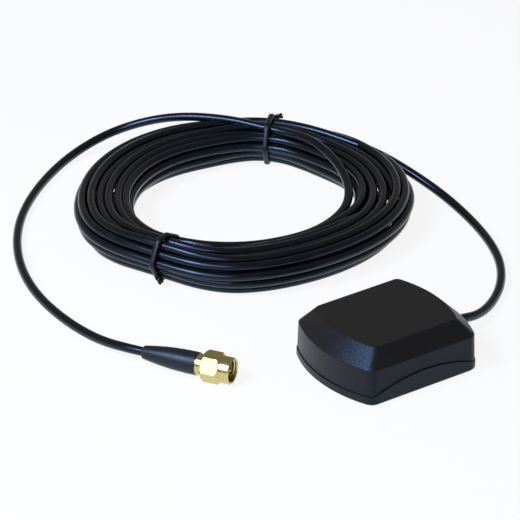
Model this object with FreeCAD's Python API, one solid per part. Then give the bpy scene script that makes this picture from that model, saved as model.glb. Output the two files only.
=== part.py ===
import FreeCAD, Part
import math
import os

# Magnetic-mount satellite antenna: a puck, a thin coaxial lead wound into a tied coil, and a
# screw-on coaxial plug. Millimetres, +Z up, origin at the middle of the puck's underside.
# +X points along the puck's long axis to the side where the lead leaves it.

# Puck, outside
cover_half_width = 18.0       # middle to each straight side, at the top of the wall
cover_half_length = 22.1      # middle to the crown of each curved end, at the top of the wall
end_radius = 39.7             # the curved ends
corner_radius = 3.0
wall_draft = 0.25             # how far the wall leans out from the bevel down to the joint
bevel_foot = 10.8             # height where the bevel starts
cover_top = 15.7
side_bevel = 3.9              # the bevel's run on the straight sides
end_bevel = 5.0               # and on the curved ends
top_corner_radius = 1.6
top_edge_round = 0.35
bevel_edge_round = 0.3        # where the wall turns into the bevel
cover_wall = 1.5
roof = 1.8
inner_bevel_drop = 0.5        # how far below the outer bevel the inner one starts
inner_top_corner = 1.0
least_corner = 0.4            # smallest corner left on an outline that is set in
cut_reach = 2.0               # how far a cutting shape runs past what it cuts

# Puck, base tray
base_flare = 0.5              # how far the tray stands proud of the cover
base_floor = 2.2
joint_height = 2.6            # the joint line on the curved ends
arch_rise = 3.5               # how far the joint line arches up on the straight sides
joint_gap = 0.12
arch_overlap = 0.2            # how far the arch's cut runs past the wall's inner face
foot_chamfer = 0.5
gasket_width = 0.75
gasket_height = 0.7
rib_thickness = 0.8
rib_height = 0.7
fit_gap = 0.05                # between pieces that are slid or pressed together

# Puck, screws
screw_shank = 0.95            # radius
screw_head = 1.6              # radius
screw_head_height = 1.1
screw_recess = 0.3
screw_length = 7.0
screw_cross_length = 2.1
screw_cross_width = 0.5
screw_cross_depth = 0.55
post_radius = 1.7
pilot_depth = 6.6             # hole for the screw, up from the tray's floor
recess_edge = 0.5             # post to the rib

# Puck, what it holds
magnet_radius = 6.0
magnet_height = 3.0
magnet_seat = 1.0             # height of the pockets' floor
magnet_spread = 8.5           # each magnet's centre from the middle
board_post_gap = 0.1          # board's ends to the screw posts
board_wall_gap = 2.5          # board's sides to the cover's straight walls
board_thickness = 0.8
board_bottom = 6.4
standoff_radius = 1.2
standoff_end_inset = 2.0      # standoff's centre to the board's end
standoff_side_inset = 1.5     # and to its side
patch_margin = 0.1            # patch to the board's nearer edges
patch_corner = 0.6
tape_margin = 0.5
tape_thickness = 0.2
electrode_margin = 2.25       # electrode to the patch's edge
electrode_thickness = 0.1
electrode_cut = 2.2
feed_radius = 0.45
feed_head_radius = 1.1
feed_head_height = 0.3
feed_offset = 1.8
feed_tail = 0.5
foam_thickness = 2.4
foam_margin = 1.25            # foam to the electrode's edge
foam_relief = 0.4             # room in the foam round the pin's head
can_end_margin = 3.6          # lid to the board's end
can_side_margin = 4.0         # and to its side
can_height = 1.9
can_wall = 0.25
can_corner = 0.6
# Chips under the board: length, width, height, then the centre's place in shares of the lid's half
chips = [
    (3.0, 3.0, 1.1, -0.46, 0.41),
    (2.0, 2.0, 0.7, 0.34, 0.46),
    (3.0, 2.6, 1.1, 0.40, -0.36),
    (1.6, 0.8, 0.6, -0.57, -0.20),
    (1.6, 0.8, 0.6, -0.57, -0.51),
    (0.8, 1.6, 0.6, -0.17, -0.67),
]

# Lead
lead_radius = 1.35
lead_exit_height = 5.2
grommet_wall = 0.5
grommet_stand_out = 0.45
grommet_flange_thickness = 0.9
grommet_flange_lip = 0.4
core_radius = 0.75
conductor_radius = 0.25
wire_inset = 1.15             # the wire's joint to the board's end
lead_rest = 1.4               # height of the lead's middle where it lies on the floor

# The lead's free stretches, laid out by hand along what the lead lies on
puck_route = [
    (17.2, 0.0, lead_exit_height),
    (25.6, 0.0, lead_exit_height),
    (34.6, 1.9, 2.6),
    (44.6, 7.6, lead_rest),
    (54.0, 15.8, lead_rest),
    (61.4, 26.4, lead_rest),
    (66.6, 39.2, lead_rest),
    (70.0, 53.0, lead_rest),
    (70.6, 66.4, 3.0),
    (67.6, 79.2, 6.2),
    (63.0, 90.6, 8.8),
]
plug_route = [
    (-59.6, 41.0, 4.0),
    (-62.4, 53.6, 2.0),
    (-63.6, 69.0, lead_rest),
    (-62.6, 85.6, lead_rest),
    (-58.0, 102.4, lead_rest),
    (-49.6, 118.8, lead_rest),
    (-38.4, 133.0, lead_rest),
    (-23.8, 145.6, lead_rest),
    (-7.4, 155.2, 1.8),
    (7.6, 156.8, 4.6),
    (18.4, 149.6, 9.0),
    (26.4, 139.6, 12.2),
    (33.4, 129.4, 11.5),
]

# Coil
coil_centre = (14.0, 91.0)
coil_mean_radius = 41.2
free_pitch = 3.9              # turn to turn across the bundle where nothing holds it
free_rise = 2.8               # and row to row
neck_reach = 24.0             # degrees each side of a tie over which the bundle draws in
neck_flat = 2.5               # degrees each side of a tie without any swell
front_tie_angle = 202.0
back_tie_angle = 44.5
tie_thickness = 1.2
tie_width = 1.6
tie_bevel = 0.4
tie_gap = 0.1
tail_radius = 0.6
tail_length = 3.6
tail_spread = 16.0            # degrees, each end out of the loop's plane
tail_pitch = 0.42             # each end's root beside the loop's middle
# Where the ends leave the loop: its side, counted from the outer foot, the share along that side,
# and the slope in degrees
front_tail = (0, 0.35, -20.0)
back_tail = (1, 1.0, -30.0)
# Outermost turns of the bundle: diameters outwards, and rows up from the lowest row
bundle_corners = [(1.0, 0), (2.0, 2), (1.0, 4), (-1.0, 4), (-2.0, 2), (-1.0, 0)]

# Plug, measured along its axis from the boot's small end
plug_tail = (-57.2, 37.2)
plug_heading = -57.6
boot_length = 16.9
boot_tail_radius = 1.9
boot_mouth_radius = 3.3
boot_belly = 0.45
boot_tail_chamfer = 0.3
collar_radius = 3.12
collar_start = 15.7
collar_end = 18.6
ferrule_radius = 2.35
ferrule_wall = 0.35
ferrule_start = 8.4
ferrule_end = 15.5
crimp_bore = 0.9
neck_radius = 2.4
nut_start = 18.8
nut_across_flats = 8.0
hex_length = 5.5
hex_chamfer_depth = 0.65
nut_collar_radius = 3.87
nut_collar_length = 3.2
nut_rim_chamfer = 0.3
nut_running_gap = 0.08
nut_lip = 1.0
gasket_shoulder = 0.5         # ring groove to the thread's end
nut_face_inset = 0.15         # how far the hexagon's chamfer runs inside its flats
ring_thickness = 0.6
ring_groove = 0.85
ring_depth = 0.3
ring_reach = 0.4
ring_opening = 60.0           # degrees left open so that the ring can be sprung into its groove
thread_radius = 3.175         # the thread's outer radius; the bore is left plain
thread_lead_in = 0.3
sleeve_radius = 2.3
sleeve_wall = 0.25
sleeve_recess = 3.1           # sleeve's face behind the nut's mouth
gasket_ring_radius = 2.85
gasket_ring_thickness = 0.9
pin_radius = 0.46
pin_stand_out = 2.4
pin_tip = 0.45                # length of the cone
pin_tip_radius = 0.23
pin_shank_radius = 0.62
pin_tail = 1.0                # how far the pin reaches behind the insulator
insulator_start = 17.2

UP = FreeCAD.Vector(0, 0, 1)
ORIGIN = FreeCAD.Vector(0, 0, 0)


def vec(x, y, z=0.0):
    return FreeCAD.Vector(x, y, z)


def barrel_wire(side_inset, end_inset, corner, z):
    """Closed outline with two straight sides and two bowed ends, set in from the cover's wall."""
    half_width = cover_half_width - side_inset
    half_length = cover_half_length - end_inset
    radius = end_radius - end_inset
    arc_centre = half_length - radius
    corner_y = half_width - corner
    corner_x = arc_centre + math.sqrt((radius - corner) ** 2 - corner_y ** 2)
    swing = math.atan2(corner_y, corner_x - arc_centre)
    touch = vec(arc_centre + radius * math.cos(swing), radius * math.sin(swing), z)
    half_turn = (swing + math.pi / 2) / 2
    knee = vec(corner_x + corner * math.cos(half_turn), corner_y + corner * math.sin(half_turn), z)
    flat = vec(corner_x, half_width, z)

    def at(point, sx, sy):
        return vec(point.x * sx, point.y * sy, z)

    edges = []
    for sx in (1, -1):
        crown = vec(sx * half_length, 0, z)
        edges.append(Part.Arc(at(touch, sx, -sx), crown, at(touch, sx, sx)).toShape())
        edges.append(Part.Arc(at(touch, sx, sx), at(knee, sx, sx), at(flat, sx, sx)).toShape())
        edges.append(Part.LineSegment(at(flat, sx, sx), at(flat, -sx, sx)).toShape())
        edges.append(Part.Arc(at(flat, -sx, sx), at(knee, -sx, sx), at(touch, -sx, sx)).toShape())
    return Part.Wire(edges)


def barrel_prism(inset, bottom, top):
    """Upright block with the puck's outline, set in by the same amount all round."""
    corner = max(corner_radius - inset, least_corner)
    face = Part.Face(barrel_wire(inset, inset, corner, bottom))
    return face.extrude(UP * (top - bottom))


def barrel_ring(outer_inset, inner_inset, bottom, top):
    hollow = barrel_prism(inner_inset, bottom - cut_reach, top + cut_reach)
    return barrel_prism(outer_inset, bottom, top).cut(hollow)


def arch_block(lift):
    """The lens that the tray raises along both straight sides, under an arched joint line."""
    arc_centre = cover_half_length - end_radius
    half_span = arc_centre + math.sqrt(end_radius ** 2 - cover_half_width ** 2)
    left = vec(-half_span, 0, joint_height + lift)
    crown = vec(0, 0, joint_height + arch_rise + lift)
    right = vec(half_span, 0, joint_height + lift)
    arch = Part.Arc(left, crown, right).toShape()
    foot_left = vec(-half_span, 0, base_floor)
    foot_right = vec(half_span, 0, base_floor)
    sides = [
        arch,
        Part.LineSegment(right, foot_right).toShape(),
        Part.LineSegment(foot_right, foot_left).toShape(),
        Part.LineSegment(foot_left, left).toShape(),
    ]
    depth = cut_reach + cover_wall + arch_overlap
    blocks = []
    for side in (1, -1):
        face = Part.Face(Part.Wire(sides))
        face.translate(vec(0, (cover_half_width + cut_reach) * side, 0))
        blocks.append(face.extrude(vec(0, -depth * side, 0)))
    return blocks[0].fuse(blocks[1])


def cylinder(radius, height, base, direction=UP):
    return Part.makeCylinder(radius, height, base, direction)


def block(length, width, height, z, x=0.0, y=0.0):
    return Part.makeBox(length, width, height, vec(x - length / 2, y - width / 2, z))


def edges_at(shape, height):
    """Edges that lie level at a height."""
    return [e for e in shape.Edges if all(abs(v.Z - height) < 0.01 for v in e.Vertexes)]


def screw_centres():
    """Where the four screws stand: just inside the tray's rib, near each corner."""
    inset = cover_wall + gasket_width + rib_thickness + recess_edge + post_radius
    y = cover_half_width - inset
    radius = end_radius - inset
    x = cover_half_length - end_radius + math.sqrt(radius ** 2 - y ** 2)
    return [(sx * x, sy * y) for sx in (1, -1) for sy in (1, -1)]


def each(shapes):
    return Part.makeCompound(shapes)


def housing_cover():
    """Moulded cover: leaning wall, wide bevel, flat top, hollow inside, with four screw posts."""
    outside = Part.makeLoft([
        barrel_wire(-wall_draft, -wall_draft, corner_radius, joint_height + joint_gap),
        barrel_wire(0, 0, corner_radius, bevel_foot),
        barrel_wire(side_bevel, end_bevel, top_corner_radius, cover_top),
    ], True, True)
    rise = cover_top - bevel_foot
    share = 1 - roof / rise
    side_in = side_bevel * share + cover_wall * math.hypot(rise, side_bevel) / rise
    end_in = end_bevel * share + cover_wall * math.hypot(rise, end_bevel) / rise
    inner_corner = max(corner_radius - cover_wall, least_corner)
    inside = Part.makeLoft([
        barrel_wire(cover_wall, cover_wall, inner_corner, 0),
        barrel_wire(cover_wall, cover_wall, inner_corner, bevel_foot - inner_bevel_drop),
        barrel_wire(side_in, end_in, inner_top_corner, cover_top - roof),
    ], True, True)
    rim = edges_at(outside, cover_top)
    outside = outside.makeFillet(top_edge_round, rim)
    outside = outside.makeFillet(bevel_edge_round, edges_at(outside, bevel_foot))
    cover = outside.cut(inside)
    cover = cover.cut(arch_block(joint_gap))
    hole = lead_radius + fit_gap + grommet_wall + fit_gap
    wall_x = cover_half_length - cover_wall - cut_reach
    run = cover_wall + 2 * cut_reach
    cover = cover.cut(cylinder(hole, run, vec(wall_x, 0, lead_exit_height), vec(1, 0, 0)))
    for x, y in screw_centres():
        roofline = cylinder(post_radius, cover_top - roof / 2 - base_floor, vec(x, y, base_floor))
        post = roofline.common(outside)
        pilot_foot = vec(x, y, base_floor - cut_reach)
        pilot = cylinder(screw_shank + fit_gap, pilot_depth + cut_reach, pilot_foot)
        cover = cover.fuse(post).cut(pilot)
    return cover.removeSplitter()


def base_tray():
    """Flared tray: floor, rim, arched sides, gasket rib, standoffs, magnet pockets, screw holes."""
    plate = barrel_prism(-base_flare, 0, base_floor)
    tray = plate.makeChamfer(foot_chamfer, edges_at(plate, 0))
    tray = tray.fuse(barrel_ring(-base_flare, cover_wall, base_floor, joint_height))
    shell = barrel_ring(-base_flare, cover_wall, base_floor, cover_top)
    tray = tray.fuse(arch_block(0).common(shell))
    rib_outer = cover_wall + gasket_width + fit_gap * 2
    rib = barrel_ring(rib_outer, rib_outer + rib_thickness, base_floor, base_floor + rib_height)
    tray = tray.fuse(rib)
    standoff_x = board_half_length() - standoff_end_inset
    standoff_y = board_half_width() - standoff_side_inset
    for sx in (1, -1):
        for sy in (1, -1):
            standoff_foot = vec(sx * standoff_x, sy * standoff_y, base_floor)
            tray = tray.fuse(cylinder(standoff_radius, board_bottom - base_floor, standoff_foot))
    for x in (magnet_spread, -magnet_spread):
        tray = tray.cut(cylinder(magnet_radius + fit_gap, cover_top, vec(x, 0, magnet_seat)))
    for x, y in screw_centres():
        head = screw_head_height + screw_recess
        tray = tray.cut(cylinder(screw_head + fit_gap * 2, head, vec(x, y, 0)))
        tray = tray.cut(cylinder(screw_shank + fit_gap * 2, base_floor, vec(x, y, 0)))
    return tray.removeSplitter()


def seal_ring():
    return barrel_ring(
        cover_wall + fit_gap, cover_wall + fit_gap + gasket_width,
        base_floor, base_floor + gasket_height,
    )


def cable_grommet():
    """Rubber sleeve round the lead: a flange inside the wall and a tapered nose outside it."""
    bore = lead_radius + fit_gap
    sleeve = bore + grommet_wall
    wall_in = cover_half_length - cover_wall - fit_gap
    nose = cover_half_length + grommet_stand_out
    flange = sleeve + grommet_flange_lip
    back = wall_in - grommet_flange_thickness
    profile = [
        vec(back, bore), vec(back, flange), vec(wall_in, flange), vec(wall_in, sleeve),
        vec(cover_half_length + fit_gap, sleeve), vec(nose, (sleeve + bore) / 2), vec(nose, bore),
    ]
    return turned(profile).translated(vec(0, 0, lead_exit_height))


def turned(profile, axis_start=ORIGIN):
    """Solid of revolution about X from a closed (x, radius) outline."""
    loop = Part.makePolygon(profile + [profile[0]])
    return Part.Face(loop).revolve(axis_start, vec(1, 0, 0), 360)


def magnets():
    return each([
        cylinder(magnet_radius, magnet_height, vec(x, 0, magnet_seat))
        for x in (magnet_spread, -magnet_spread)
    ])


def base_screws():
    """Four pan-head screws let into the tray's underside."""
    screws = []
    for x, y in screw_centres():
        head = cylinder(screw_head, screw_head_height, vec(x, y, screw_recess))
        shank = cylinder(screw_shank, screw_length, vec(x, y, screw_recess + screw_head_height))
        sides = (screw_cross_length, screw_cross_width)
        cross = block(*sides, screw_cross_depth, screw_recess, x, y)
        cross = cross.fuse(block(*sides[::-1], screw_cross_depth, screw_recess, x, y))
        screws.append(head.fuse(shank).cut(cross).removeSplitter())
    return each(screws)


def board_top():
    return board_bottom + board_thickness


def board_half_length():
    """The board ends just short of the screw posts."""
    post_x, _ = screw_centres()[0]
    return post_x - post_radius - board_post_gap


def board_half_width():
    return cover_half_width - cover_wall - board_wall_gap


def patch_half():
    """The patch is square and fills the board's shorter way."""
    return min(board_half_length(), board_half_width()) - patch_margin


def electrode_half():
    return patch_half() - electrode_margin


def can_half_length():
    return board_half_length() - can_end_margin


def can_half_width():
    return board_half_width() - can_side_margin


def circuit_board():
    board = block(2 * board_half_length(), 2 * board_half_width(), board_thickness, board_bottom)
    hole = cylinder(feed_radius + fit_gap, board_thickness, vec(0, feed_offset, board_bottom))
    return board.cut(hole)


def patch_bottom():
    return board_top() + tape_thickness


def electrode_bottom():
    """The foam under the roof presses on the electrode."""
    return cover_top - roof - foam_thickness - electrode_thickness


def patch_thickness():
    """The ceramic fills the height between the tape and the electrode."""
    return electrode_bottom() - patch_bottom()


def patch_tape():
    side = 2 * (patch_half() - tape_margin)
    tape = block(side, side, tape_thickness, board_top())
    hole = cylinder(feed_radius * 2, tape_thickness, vec(0, feed_offset, board_top()))
    return tape.cut(hole)


def ceramic_patch():
    """Square ceramic block with eased upright edges, drilled for the feed pin."""
    patch = block(2 * patch_half(), 2 * patch_half(), patch_thickness(), patch_bottom())
    upright = [e for e in patch.Edges if abs(e.Vertexes[0].Z - e.Vertexes[1].Z) > 1]
    patch = patch.makeFillet(patch_corner, upright)
    hole = cylinder(feed_radius + fit_gap, patch_thickness(), vec(0, feed_offset, patch_bottom()))
    return patch.cut(hole)


def patch_electrode():
    """Silver square on the ceramic, with two opposite corners cut off to tune it."""
    half = electrode_half()
    z = electrode_bottom()
    loop = Part.makePolygon([
        vec(-half, -half, z), vec(half - electrode_cut, -half, z), vec(half, electrode_cut - half, z),
        vec(half, half, z), vec(electrode_cut - half, half, z), vec(-half, half - electrode_cut, z),
        vec(-half, -half, z),
    ])
    plate = Part.Face(loop).extrude(UP * electrode_thickness)
    hole = cylinder(feed_radius + fit_gap, electrode_thickness, vec(0, feed_offset, z))
    return plate.cut(hole)


def feed_pin():
    """Round-headed pin from the electrode through ceramic and board."""
    seat = electrode_bottom() + electrode_thickness
    foot = board_bottom - feed_tail
    shank = cylinder(feed_radius, seat - foot, vec(0, feed_offset, foot))
    head = cylinder(feed_head_radius, feed_head_height, vec(0, feed_offset, seat))
    return shank.fuse(head).removeSplitter()


def foam_pad():
    """Pad that holds the stack down, cut out over the pin's head."""
    bottom = electrode_bottom() + electrode_thickness
    side = 2 * (electrode_half() - foam_margin)
    pad = block(side, side, foam_thickness, bottom)
    relief = feed_head_height + foam_relief
    hole = cylinder(feed_head_radius + foam_relief, relief, vec(0, feed_offset, bottom))
    return pad.cut(hole)


def shield_can():
    """Folded tin lid under the board, open towards the board."""
    z = board_bottom - can_height
    length = 2 * can_half_length()
    width = 2 * can_half_width()
    outside = block(length, width, can_height, z)
    upright = [e for e in outside.Edges if abs(e.Vertexes[0].Z - e.Vertexes[1].Z) > 1]
    outside = outside.makeFillet(can_corner, upright)
    inside = block(length - 2 * can_wall, width - 2 * can_wall, can_height, z + can_wall)
    return outside.cut(inside)


def amplifier_components():
    """Filter, amplifier and small chips soldered under the board, inside the lid."""
    half_length = can_half_length() - can_wall
    half_width = can_half_width() - can_wall
    return each([
        block(length, width, height, board_bottom - height, x * half_length, y * half_width)
        for length, width, height, x, y in chips
    ])


def antenna_core():
    """Stripped end of the lead in the puck: insulation, then the wire bent up to the board."""
    start_x, _, height = puck_route[0]
    wire_x = board_half_length() - wire_inset
    end_x = wire_x - core_radius
    core = cylinder(core_radius, start_x - end_x, vec(end_x, 0, height), vec(1, 0, 0))
    wire = cylinder(conductor_radius, board_bottom - height, vec(wire_x, 0, height))
    return core.fuse(wire).removeSplitter()


def routed_tube(points, name):
    """Round tube along straight runs joined by tangent arcs."""
    edges = []
    radii = []
    start = points[0]
    for before, corner, after in zip(points, points[1:], points[2:]):
        way_in = (corner - before).normalize()
        way_out = (after - corner).normalize()
        half_turn = way_in.getAngle(way_out) / 2
        setback = 0.45 * min((corner - before).Length, (after - corner).Length)
        radii.append(setback / math.tan(half_turn))
        arc_start = corner - way_in * setback
        arc_end = corner + way_out * setback
        middle = (way_out - way_in).normalize()
        arc_middle = corner + middle * (radii[-1] / math.cos(half_turn) - radii[-1])
        edges.append(Part.LineSegment(start, arc_start).toShape())
        edges.append(Part.Arc(arc_start, arc_middle, arc_end).toShape())
        start = arc_end
    edges.append(Part.LineSegment(start, points[-1]).toShape())
    path = Part.Wire(edges)
    first = (points[1] - points[0]).normalize()
    ring = Part.Wire(Part.makeCircle(lead_radius, points[0], first))
    tube = path.makePipeShell([ring], True, False)
    drift = tube.Volume / (math.pi * lead_radius ** 2 * path.Length) - 1
    print(name, "length", round(path.Length, 1), "radii", [round(r, 1) for r in radii],
          "volume drift", round(drift, 5))
    return tube


def puck_lead():
    return routed_tube([vec(*p) for p in puck_route], "puck_lead")


def plug_place():
    """Placement that puts the plug's own X axis where the plug lies."""
    turn = FreeCAD.Rotation(UP, plug_heading)
    return FreeCAD.Placement(vec(*plug_tail, plug_axis_height()), turn)


def plug_axis_height():
    return nut_across_flats / 2


def plug_lead():
    inside = plug_place().multVec(vec(ferrule_start - fit_gap, 0, 0))
    return routed_tube([inside] + [vec(*p) for p in plug_route], "plug_lead")


def turn_centres(pitch, rise, foot):
    """Middles of the outermost turns, drawn with X outwards and Y up."""
    return [vec(across * pitch, foot + up * rise) for across, up in bundle_corners]


def tied_centres():
    """The same, packed under a tie, which lifts the turns by its own thickness."""
    pitch = 2 * lead_radius
    foot = lead_radius + tie_gap + tie_thickness
    return turn_centres(pitch, pitch * math.sqrt(3) / 2, foot)


def hull(centres, reach):
    """Face bounded by a line round the outermost turns, at a distance from their middles."""
    return Part.Face(Part.makePolygon(centres + [centres[0]])).makeOffset2D(reach)


def tail_root(centres, side, share):
    """Point halfway through the thickness of the tie's band."""
    start = centres[side]
    along = centres[side + 1] - start
    outwards = vec(along.y, -along.x).normalize()
    return start + along * share + outwards * (lead_radius + tie_gap + tie_thickness / 2)


def across_bundle(shape, angle):
    """Stand a shape drawn with X outwards and Y up across the bundle at an angle."""
    outwards = vec(math.cos(math.radians(angle)), math.sin(math.radians(angle)))
    turn = FreeCAD.Rotation(outwards, UP, outwards.cross(UP), "XYZ")
    moved = shape.copy()
    moved.Placement = FreeCAD.Placement(vec(*coil_centre) + outwards * coil_mean_radius, turn)
    return moved


def coil_arc(face, start, end):
    return across_bundle(face, start).revolve(vec(*coil_centre), UP, end - start)


def cable_coil():
    """Outer shape of the wound turns: a round bundle drawn in where the two ties hold it."""
    free = hull(turn_centres(free_pitch, free_rise, lead_radius), lead_radius)
    neck = hull(tied_centres(), lead_radius)
    spans = [(back_tie_angle, front_tie_angle), (front_tie_angle, back_tie_angle + 360)]
    pieces = []
    for angle, following in spans:
        pieces.append(coil_arc(neck, angle - neck_flat, angle + neck_flat))
        for side in (-1, 1):
            wires = [
                across_bundle(neck.OuterWire, angle + side * neck_flat),
                across_bundle(free.OuterWire, angle + side * neck_reach),
            ]
            pieces.append(Part.makeLoft(wires, True, True))
        pieces.append(coil_arc(free, angle + neck_reach, following - neck_reach))
    coil = pieces[0].multiFuse(pieces[1:])
    return coil.removeSplitter()


def tie(angle, tail):
    """Wire tie closed round the bundle, with its two ends twisted on the outside."""
    centres = tied_centres()
    inside = lead_radius + tie_gap
    loop = hull(centres, inside + tie_thickness).extrude(UP * tie_width)
    loop = loop.makeChamfer(tie_bevel, loop.Edges)
    loop = loop.cut(hull(centres, inside).extrude(UP * tie_width))
    loop.translate(UP * (-tie_width / 2))
    side, share, slope = tail
    fall = math.radians(slope)
    for way in (-1, 1):
        lean = math.radians(tail_spread * way)
        flat = math.cos(lean)
        along = vec(flat * math.cos(fall), flat * math.sin(fall), math.sin(lean))
        start = tail_root(centres, side, share) - UP * (way * tail_pitch)
        loop = loop.fuse(cylinder(tail_radius, tail_length, start, along))
    return across_bundle(loop.removeSplitter(), angle)


def tie_front():
    return tie(front_tie_angle, front_tail)


def tie_back():
    return tie(back_tie_angle, back_tail)


def placed(shape):
    """Move a piece made along X to the plug's place."""
    moved = shape.copy()
    moved.Placement = plug_place().multiply(moved.Placement)
    return moved


def connector_boot():
    """Rubber boot: bowed outside, stepped bore for lead, ferrule and collar."""
    tail = vec(boot_tail_chamfer, boot_tail_radius)
    mouth = vec(boot_length, boot_mouth_radius)
    middle = (tail + mouth) * 0.5 + vec(0, boot_belly)
    collar = collar_radius + fit_gap
    ferrule = ferrule_radius + fit_gap
    lead = lead_radius + fit_gap
    bowed = Part.Arc(tail, middle, mouth).toShape()
    steps = [
        mouth, vec(boot_length, collar), vec(collar_start - fit_gap, collar),
        vec(collar_start - fit_gap, ferrule), vec(ferrule_start - fit_gap, ferrule),
        vec(ferrule_start - fit_gap, lead), vec(0, lead),
        vec(0, boot_tail_radius - boot_tail_chamfer), tail,
    ]
    edges = [bowed] + [Part.LineSegment(a, b).toShape() for a, b in zip(steps, steps[1:])]
    return placed(Part.Face(Part.Wire(edges)).revolve(ORIGIN, vec(1, 0, 0), 360))


def crimp_ferrule():
    inner = ferrule_radius - ferrule_wall
    return placed(turned([
        vec(ferrule_start, inner), vec(ferrule_start, ferrule_radius),
        vec(ferrule_end, ferrule_radius), vec(ferrule_end, inner),
    ]))


def groove_start():
    return nut_start + nut_lip


def mouth():
    return nut_start + hex_length + nut_collar_length


def sleeve_face():
    return mouth() - sleeve_recess


def thread_start():
    return groove_start() + ring_groove + gasket_shoulder


def connector_body():
    """Turned body: crimp neck, collar, grooved neck under the nut, outer contact."""
    crimp_outer = ferrule_radius - ferrule_wall - fit_gap
    step = thread_start() + gasket_ring_thickness + fit_gap
    groove_end = groove_start() + ring_groove
    groove_floor = neck_radius - ring_depth
    bore = sleeve_radius - sleeve_wall
    return placed(turned([
        vec(ferrule_start + fit_gap, crimp_bore),
        vec(ferrule_start + fit_gap, crimp_outer),
        vec(collar_start, crimp_outer),
        vec(collar_start, collar_radius),
        vec(collar_end, collar_radius),
        vec(collar_end, neck_radius),
        vec(groove_start(), neck_radius),
        vec(groove_start(), groove_floor),
        vec(groove_end, groove_floor),
        vec(groove_end, neck_radius),
        vec(step, neck_radius),
        vec(step, sleeve_radius),
        vec(sleeve_face(), sleeve_radius),
        vec(sleeve_face(), bore),
        vec(insulator_start, bore),
        vec(insulator_start, crimp_bore),
    ]))


def retaining_ring():
    """Split ring half in the body's groove and half in the nut's."""
    inner = neck_radius - ring_depth + fit_gap
    outer = neck_radius + ring_reach
    start = groove_start() + (ring_groove - ring_thickness) / 2
    ring = turned([
        vec(start, inner), vec(start, outer),
        vec(start + ring_thickness, outer), vec(start + ring_thickness, inner),
    ])
    half = math.radians(ring_opening / 2)
    far = outer + cut_reach
    back = start - cut_reach
    wedge = Part.Face(Part.makePolygon([
        vec(back, 0, 0), vec(back, far * math.sin(half), far * math.cos(half)),
        vec(back, -far * math.sin(half), far * math.cos(half)), vec(back, 0, 0),
    ])).extrude(vec(ring_thickness + 2 * cut_reach, 0, 0))
    return placed(ring.cut(wedge))


def nut_gasket():
    inner = neck_radius + fit_gap
    start = thread_start() + fit_gap
    end = start + gasket_ring_thickness
    return placed(turned([
        vec(start, inner), vec(start, gasket_ring_radius),
        vec(end, gasket_ring_radius), vec(end, inner),
    ]))


def insulator():
    outer = sleeve_radius - sleeve_wall - fit_gap
    inner = pin_shank_radius + fit_gap
    return placed(turned([
        vec(insulator_start, inner), vec(insulator_start, outer),
        vec(sleeve_face(), outer), vec(sleeve_face(), inner),
    ]))


def center_pin():
    """Gold contact: shank crimped to the lead's wire, slimmer free end with a coned tip."""
    tail = insulator_start - pin_tail
    tip = sleeve_face() + pin_stand_out
    return placed(turned([
        vec(tail, 0), vec(tail, pin_shank_radius),
        vec(sleeve_face(), pin_shank_radius), vec(sleeve_face(), pin_radius),
        vec(tip - pin_tip, pin_radius), vec(tip, pin_tip_radius), vec(tip, 0),
    ]))


def plug_core():
    """Stripped end of the lead in the plug, up to the pin's crimped tail."""
    reach = insulator_start - pin_tail - ferrule_start
    return placed(cylinder(core_radius, reach, vec(ferrule_start, 0, 0), vec(1, 0, 0)))


def coupling_nut():
    """Hexagon nut with a round front collar, threaded bore and a groove for the split ring."""
    corner = nut_across_flats / math.sqrt(3)
    points = [
        vec(nut_start, corner * math.sin(math.radians(a)), corner * math.cos(math.radians(a)))
        for a in range(30, 391, 60)
    ]
    hexagon = Part.Face(Part.makePolygon(points)).extrude(vec(hex_length, 0, 0))
    front = nut_start + hex_length
    low = nut_across_flats / 2 - nut_face_inset
    rounding = turned([
        vec(nut_start, 0), vec(nut_start, low),
        vec(nut_start + hex_chamfer_depth, corner), vec(front - hex_chamfer_depth, corner),
        vec(front, low), vec(front, 0),
    ])
    collar = turned([
        vec(front - cut_reach, 0), vec(front - cut_reach, nut_collar_radius),
        vec(mouth() - nut_rim_chamfer, nut_collar_radius),
        vec(mouth(), nut_collar_radius - nut_rim_chamfer), vec(mouth(), 0),
    ])
    lip = neck_radius + nut_running_gap
    groove = neck_radius + ring_reach + nut_running_gap
    bore = turned([
        vec(nut_start - cut_reach, 0), vec(nut_start - cut_reach, lip), vec(groove_start(), lip),
        vec(groove_start(), groove), vec(groove_start() + ring_groove, groove),
        vec(groove_start() + ring_groove, lip), vec(thread_start(), lip),
        vec(thread_start(), thread_radius), vec(mouth() - thread_lead_in, thread_radius),
        vec(mouth(), thread_radius + thread_lead_in),
        vec(mouth() + cut_reach, thread_radius + thread_lead_in), vec(mouth() + cut_reach, 0),
    ])
    return placed(hexagon.common(rounding).fuse(collar).cut(bore).removeSplitter())


PIECES = {
    "housing_cover": housing_cover,
    "base_tray": base_tray,
    "seal_ring": seal_ring,
    "cable_grommet": cable_grommet,
    "magnets": magnets,
    "base_screws": base_screws,
    "circuit_board": circuit_board,
    "patch_tape": patch_tape,
    "ceramic_patch": ceramic_patch,
    "patch_electrode": patch_electrode,
    "feed_pin": feed_pin,
    "foam_pad": foam_pad,
    "shield_can": shield_can,
    "amplifier_components": amplifier_components,
    "antenna_core": antenna_core,
    "puck_lead": puck_lead,
    "cable_coil": cable_coil,
    "plug_lead": plug_lead,
    "tie_front": tie_front,
    "tie_back": tie_back,
    "connector_boot": connector_boot,
    "crimp_ferrule": crimp_ferrule,
    "plug_core": plug_core,
    "connector_body": connector_body,
    "retaining_ring": retaining_ring,
    "nut_gasket": nut_gasket,
    "insulator": insulator,
    "center_pin": center_pin,
    "coupling_nut": coupling_nut,
}

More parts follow.
